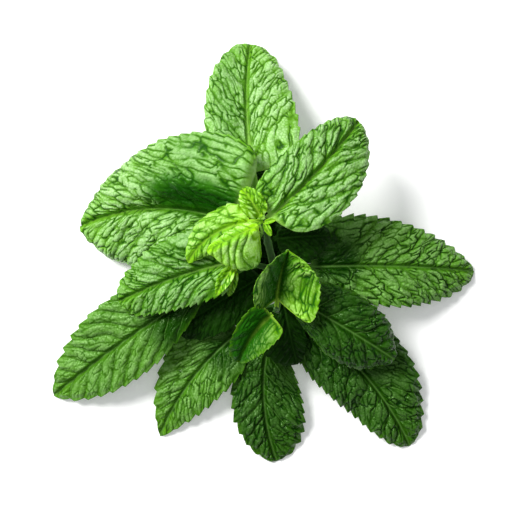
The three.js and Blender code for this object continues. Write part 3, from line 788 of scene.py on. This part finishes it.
LOWER_LEAVES = {
    "right_leaf": dict(
        node="middle", lift=0.6, teeth=17, tooth=0.85,
        length=61, heading=4, turn=-10.1, rise=4, fall=-36.2, bow=1.2,
        stalk=0.14, stalk_half=1, wave=0.5,
        left=(14.6, 0.28, 0.79, 6, 2, -20), right=(11.4, 0.55, 0.6, 12, 4, -20),
        vein_gap=6.0, ranks=2, cell_long=3.0, lean=0.95, pillow=0.7, blister=0.60, grain=0.14,
        age_and_shade=0.12, swing=1.0, painted_shade=[(1.4, 2.0, 7.0, 0.36)]),
    "low_right_leaf": dict(
        node="low", lift=1.4, teeth=17, tooth=0.85,
        length=57.1, heading=-30.6, turn=-35, rise=8, fall=-22.6, bow=1,
        stalk=0.03, stalk_half=1, wave=0.5,
        left=(14.6, 0.48, 0.75, 6, 2, -20), right=(11.6, 0.4, 0.62, 6, 2, -20),
        vein_gap=6.4, ranks=2, cell_long=3.2, lean=0.9, pillow=0.8, blister=0.62, grain=0.16,
        age_and_shade=0.95, swing=1.6, painted_shade=[(0.5, 3.0, 9.0, 0.6)]),
    "short_right_leaf": dict(
        node="near_bend", lift=1.65, teeth=12, tooth=0.7,
        length=38.7, heading=-28.1, turn=-6, rise=14, fall=-31.1, bow=1,
        stalk=0.06, stalk_half=0.8, wave=0,
        left=(10.2, 0.4, 0.55, -6, -4, -35), right=(9.5, 0.6, 0.5, -6, -4, -35),
        vein_gap=5.4, ranks=2, cell_long=3.0, lean=0.9, pillow=0.8, blister=0.60, grain=0.16,
        age_and_shade=1.1, swing=1.4),
    "near_leaf": dict(
        node="low", lift=-1.2, teeth=13, tooth=0.85,
        length=46.2, heading=-110.8, turn=41.6, rise=10, fall=-21.3, bow=1,
        stalk=0.14, stalk_half=0.9, wave=0.5,
        left=(11.1, 0.72, 0.51, 10, 4, -15), right=(9.3, 0.5, 0.64, 10, 4, -15),
        vein_gap=5.4, ranks=2, cell_long=2.8, lean=0.9, pillow=0.8, blister=0.66, grain=0.16,
        age_and_shade=1.0, swing=1.2),
    "near_left_leaf": dict(
        node="low", lift=0.6, teeth=13, tooth=0.8,
        length=53, heading=-151.6, turn=40, rise=6, fall=-19.8, bow=1,
        stalk=0.22, stalk_half=0.9, wave=0.4,
        left=(9.8, 0.34, 0.78, 14, 8, -8), right=(11.1, 0.47, 1.05, 12, 8, -8),
        vein_gap=5.2, ranks=2, cell_long=3.8, lean=1.3, pillow=0.5, blister=0.34, net=0.8, grain=0.12,
        age_and_shade=0.2, swing=0.8, painted_shade=[(1.0, 2.0, 8.0, 0.45)]),
    "low_left_leaf": dict(
        node="left_bend", lift=-1.2, teeth=17, tooth=0.85,
        length=72.4, heading=-152, turn=12.3, rise=2, fall=-27.6, bow=1,
        stalk=0.16, stalk_half=1, wave=0.4,
        left=(10.9, 0.96, 0.84, 12, 6, -10), right=(12.4, 0.74, 0.9, 12, 6, -10),
        vein_gap=6.4, ranks=2, cell_long=4.0, lean=1.2, pillow=1.0, blister=0.36, net=0.55, grain=0.12,
        age_and_shade=0.25, swing=0.9, painted_shade=[(1.1, 4.0, 9.0, 0.5)]),
    "shaded_right_leaf": dict(
        node="high", lift=-0.4, teeth=8, tooth=0.7,
        length=17.3, heading=6.2, turn=-6, rise=4, fall=-25.6, bow=1,
        stalk=0.06, stalk_half=0.8, wave=0.4,
        left=(6, 0.4, 0.7, 10, 6, -20), right=(8, 0.35, 0.7, 6, 4, -20),
        vein_gap=2.8, ranks=2, cell_long=2.2, pillow=0.4, blister=0.2, grain=0.05, age_and_shade=0.6),
    "shaded_middle_leaf": dict(
        node="middle", lift=-1.4, teeth=8, tooth=0.7,
        length=33, heading=-150, turn=4, rise=8, fall=-24, bow=1,
        stalk=0.08, stalk_half=0.8, wave=0.4,
        left=(8, 0.4, 0.5, 6, 4, -10), right=(8, 0.4, 0.5, 4, 2, -10),
        vein_gap=3.8, ranks=2, cell_long=2.8, pillow=0.5, blister=0.3, grain=0.05, age_and_shade=0.6),
    "shaded_far_leaf": dict(
        node="middle", lift=-1.4, teeth=10, tooth=0.6,
        length=29, heading=94, turn=4, rise=8, fall=-20, bow=1,
        stalk=0.04, stalk_half=0.8, wave=0.3,
        left=(9, 0.35, 0.5, 6, 4, -10), right=(7.5, 0.35, 0.5, 6, 4, -10),
        vein_gap=3.8, ranks=2, cell_long=2.8, pillow=0.5, blister=0.3, grain=0.05, age_and_shade=0.6),
    "shaded_back_leaf": dict(
        node="low", lift=-1.2, teeth=10, tooth=0.6,
        length=30, heading=122, turn=4, rise=6, fall=-8, bow=1,
        stalk=0.02, stalk_half=0.8, wave=0.3,
        left=(9, 0.3, 0.5, 4, 4, -10), right=(8, 0.4, 0.5, 4, 4, -10),
        vein_gap=3.6, ranks=2, cell_long=2.8, pillow=0.4, blister=0.2, grain=0.05, age_and_shade=0.6),
    "shaded_near_leaf": dict(
        node="near_bend", lift=-0.8, teeth=9, tooth=0.6,
        length=22, heading=-80, turn=6, rise=-8, fall=-32, bow=1,
        stalk=0.06, stalk_half=0.7, wave=0.3,
        left=(4.5, 0.4, 0.6, 6, 4, -10), right=(10.5, 0.3, 0.6, 6, 4, -10),
        vein_gap=3.0, ranks=2, cell_long=2.4, pillow=0.4, blister=0.2, grain=0.05, age_and_shade=0.6),
}

for order, (node, leaf) in enumerate(LOWER_LEAVES.items()):
    skin = SHADED_SKIN if node.startswith("shaded") else LOWER_SKIN
    blade = leaf_piece(node + "_blade", leaf, LOWER_SEED + SEED_STEP * order)
    finish_piece(blade, node, skin)


# ---------------------------------------------------------------- upper leaves
# Paler, strongly blistered blades from the upper nodes. Their skin is netted
# with sunken veins, waxy on top, and yellower towards the stalk. The sunken
# veins and creases carry painted shade, and the blister tops painted highlights.

# The darkest colour here is painted shade for hollows, creases and sunken veins, and the palest a
# painted highlight for the blister tops.
UPPER_SKIN = leaf_material("upper_leaf_skin", {
    "Hollow Shade": (0.005, 0.055, 0.0004, 1), "Blade": (0.13, 0.34, 0.024, 1),
    "Crown Highlight": (0.46, 0.69, 0.35, 1), "Tender": (0.17, 0.46, 0.005, 1),
    "Aged And Shaded": (0.030, 0.15, 0.004, 1), "Vein": (0.30, 0.56, 0.10, 1),
    "Under": (0.26, 0.42, 0.17, 1), "Rib Show": 0.8, "Vein Show": 0.0, "Vein Shade": 0.8,
    "Crease Shade": 1.0, "Crown Show": 0.68, "Base Tender": 0.5, "Tip Tender": 0.25,
    "Gloss": 0.24, "Rim Show": 0.2,
}, sheen=0.0, glow=0.03, shine=0.17)

UPPER_LEAVES = {
    "far_leaf": dict(
        node="high", lift=-1.6, teeth=14, tooth=0.6,
        length=61, heading=105.7, turn=-23.4, rise=0, fall=-41.2, bow=1.5,
        stalk=0.3, stalk_half=1.2, wave=0.5,
        left=(12.1, 0.3, 0.51, 22, 12, -28), right=(14.9, 0.16, 0.52, 24, 14, -30),
        vein_gap=6.4, ranks=2, cell_long=3.4, lean=1.0, pillow=0.5, blister=0.46, grain=0.13,
        age_and_shade=0.1, swing=0.9, painted_shade=[(0.5, 6.0, 5.0, 1.6)],
        rib_base=1.3, rib_show=0.25, rib_long=13.0),
    "broad_left_leaf": dict(
        node="high", lift=0.6, teeth=24, tooth=0.6,
        length=60.7, heading=150, turn=55.2, rise=-8, fall=-36.8, bow=1.5,
        stalk=0.14, stalk_half=1.1, wave=0.8, lobe=0.1,
        left=(18.7, 0.7, 0.42, 8, 4, -45), right=(25, 0.16, 0.92, 50, 6, -55),
        vein_gap=7.0, ranks=2, cell_long=3.6, lean=1.1, pillow=0.7, blister=0.56, grain=0.13,
        age_and_shade=0.12, swing=1.8, groove=0.9, valley=(3.2, 4.5), rib_show=0.15,
        painted_shade=[(2.4, -5.0, 5.2, 0.60), (0.5, -19.0, 9.0, 0.62)]),
    "top_right_leaf": dict(
        node="top", lift=0.2, teeth=13, tooth=0.45,
        length=42, heading=41.3, turn=12.6, rise=12, fall=-46.6, bow=1.2,
        stalk=0.03, stalk_half=1.1, wave=0.4,
        left=(10.4, 0.18, 0.45, 20, 8, -25), right=(13.2, 0.42, 0.7, 16, 6, -25),
        vein_gap=7.0, ranks=2, cell_long=3.8, lean=1.5, pillow=0.6, blister=0.52, grain=0.13,
        age_and_shade=0.4, swing=0.7, groove=0.6, valley=(0.8, 3.0), rib_show=0.2),
    "mid_left_leaf": dict(
        node="left_tip", lift=-0.4, teeth=14, tooth=0.8,
        length=36.8, heading=-168.6, turn=15.9, rise=8, fall=-30.6, bow=1,
        stalk=0.03, stalk_half=0.8, wave=0.5,
        left=(8.8, 0.15, 0.3, 12, 6, -20), right=(11.6, 0.15, 0.52, 14, 8, -24),
        vein_gap=5.0, ranks=2, cell_long=3.2, lean=1.1, pillow=0.8, blister=0.42, grain=0.12,
        age_and_shade=0.55, swing=1.0, groove=0.5, valley=(1.0, 2.5), rib_show=0.2),
}

for order, (node, leaf) in enumerate(UPPER_LEAVES.items()):
    blade = leaf_piece(node + "_blade", leaf, UPPER_SEED + SEED_STEP * order)
    finish_piece(blade, node, UPPER_SKIN)


# ---------------------------------------------------------------- young leaves
# The youngest leaves, thin and bright yellow-green, still folded and cupped
# around the growing tips. Their pleated skin lets light through.

# The darkest colour here is painted shade for hollows, creases and sunken veins, and the palest a
# painted highlight for the blister tops.
YOUNG_SKIN = leaf_material("young_leaf_skin", {
    "Hollow Shade": (0.008, 0.085, 0.0004, 1), "Blade": (0.18, 0.48, 0.012, 1),
    "Crown Highlight": (0.48, 0.78, 0.24, 1), "Tender": (0.34, 0.74, 0.003, 1),
    "Aged And Shaded": (0.020, 0.11, 0.002, 1), "Vein": (0.36, 0.64, 0.05, 1),
    "Under": (0.22, 0.42, 0.08, 1), "Rib Show": 0.5, "Vein Show": 0.0, "Vein Shade": 0.75,
    "Crease Shade": 0.85, "Crown Show": 0.8, "Base Tender": 0.75, "Tip Tender": 0.3,
    "Gloss": 0.34, "Rim Show": 0.12,
}, sheen=0.02, glow=0.08, shine=0.17)

YOUNG_LEAVES = {
    "young_back_leaf": dict(
        node="top", lift=-1.2, teeth=10, tooth=0.5,
        length=26.1, heading=178, turn=66.2, rise=4, fall=-32.6, bow=1,
        stalk=0.1, stalk_half=0.9, wave=0.6,
        left=(5, 0.4, 0.7, -10, -10, -25), right=(6.6, 0.34, 0.83, -4, -8, -25),
        vein_gap=4.0, ranks=1, cell_long=2.6, lean=1.0, pillow=0.5, blister=0.30, grain=0.06,
        age_and_shade=0.35, swing=1.4),
    "young_hanging_leaf": dict(
        node="top", lift=1.6, teeth=8, tooth=0.4,
        length=17.9, heading=-152.7, turn=-4, rise=24, fall=-41.6, bow=1,
        stalk=0.03, stalk_half=0.8, wave=0.9,
        left=(13.7, 0.15, 0.39, -34, -26, -20), right=(3, 0.3, 0.7, -34, -34, -10),
        vein_gap=2.9, ranks=1, cell_long=9.0, lean=0.75, pillow=0.55, blister=0.10, net=0.6, grain=0.05,
        rib_show=0.1, age_and_shade=0.0, swing=0.8),
    "cupped_leaf": dict(
        node="near_tip", lift=0.6, teeth=10, tooth=0.45,
        length=18.4, heading=87.1, turn=-17.7, rise=14, fall=37, bow=1,
        stalk=0.12, stalk_half=0.7, wave=0, lobe=0.7, left_lobe=0.3,
        left=(13, 0.31, 0.44, 46, 46, 25), right=(12.7, 0.18, 0.31, 6, 6, 20),
        vein_gap=5.0, ranks=2, cell_long=2.1, lean=0.8, pillow=0.7, blister=0.44, grain=0.08,
        net=1.3, rib_show=0.05, age_and_shade=0.5, swing=0.6, groove=0.5, valley=(1.5, 2.5),
        painted_shade=[(1.0, 3.0, 6.0, 1.6)]),
    "channel_leaf": dict(
        node="near_tip", lift=-0.6, teeth=9, tooth=0.4,
        length=19.1, heading=-139.8, turn=30.9, rise=10, fall=-43.9, bow=1,
        stalk=0.03, stalk_half=0.7, wave=0,
        left=(7.3, 0.15, 0.7, 24, 20, 10), right=(6.8, 0.17, 0.59, 30, 20, 10),
        vein_gap=4.6, ranks=2, cell_long=2.0, lean=0.9, pillow=0.6, blister=0.38, grain=0.08,
        net=1.3, rib_show=0.05, age_and_shade=0.9, swing=0.6, groove=0.5, valley=(1.5, 2.5),
        painted_shade=[(1.6, -2.8, 3.6, 1.3)]),
    "bud_leaf_left": dict(
        node="left_tip", lift=1.8, teeth=5, tooth=0.3,
        length=10.5, heading=-128, turn=16, rise=14, fall=-16, bow=1,
        stalk=0.1, stalk_half=0.5, wave=0,
        left=(2.4, 0.5, 0.9, 24, 20, 10), right=(2.4, 0.5, 0.9, 24, 20, 10),
        vein_gap=1.6, ranks=1, cell_long=2.0, pillow=0.2, blister=0.06, grain=0.03),
    "bud_leaf_right": dict(
        node="left_tip", lift=-1.4, teeth=5, tooth=0.3,
        length=10.3, heading=-104, turn=0, rise=-6, fall=-41.8, bow=1,
        stalk=0.1, stalk_half=0.5, wave=0,
        left=(1.9, 0.5, 0.9, 30, 20, 10), right=(1.9, 0.5, 0.9, 30, 20, 10),
        vein_gap=1.6, ranks=1, cell_long=2.0, pillow=0.2, blister=0.06, grain=0.03),
    "tuft_leaf_far": dict(
        node="top", lift=1.9, teeth=6, tooth=0.6,
        length=10.5, heading=118, turn=10, rise=38, fall=-14, bow=1,
        stalk=0.06, stalk_half=0.6, wave=0.2,
        left=(3.6, 0.4, 0.6, 20, 12, -10), right=(3.4, 0.4, 0.6, 20, 12, -10),
        vein_gap=1.8, ranks=1, cell_long=2.0, pillow=0.3, blister=0.1, grain=0.04),
}

for order, (node, leaf) in enumerate(YOUNG_LEAVES.items()):
    blade = leaf_piece(node + "_blade", leaf, YOUNG_SEED + SEED_STEP * order)
    finish_piece(blade, node, YOUNG_SKIN)


# ---------------------------------------------------------------- bud at the growing tip
# Three folded scales, the smallest leaves of all, closed round the tip of the
# stem. They have no stalk to speak of, and share the young leaves' thin skin.

BUD_SCALES = {
    "top_bud_near": dict(length=4.4, heading=-62, rise=34, fall=-18, off=0.25, lift=1.5, half=1.25),
    "top_bud_right": dict(length=3.6, heading=12, rise=48, fall=0, off=0.35, lift=1.5, half=0.9),
    "top_bud_left": dict(length=3.2, heading=172, rise=58, fall=16, off=0.35, lift=1.6, half=0.9),
}

for order, (name, scale) in enumerate(BUD_SCALES.items()):
    side = (scale["half"], 0.5, 0.8, 34, 22, 12)
    leaf = dict(
        scale, node="top", teeth=3, tooth=0.1, turn=0, bow=1, stalk=0.06, stalk_half=0.4,
        wave=0, left=side, right=side, vein_gap=1.3, ranks=1, cell_long=1.6, pillow=0.12,
        blister=0.04, grain=0.02, age_and_shade=0.0, swing=0.1, groove=0.12)
    bud_scale = leaf_piece(name, leaf, BUD_SEED + SEED_STEP * order)
    finish_piece(bud_scale, "top_bud", YOUNG_SKIN)
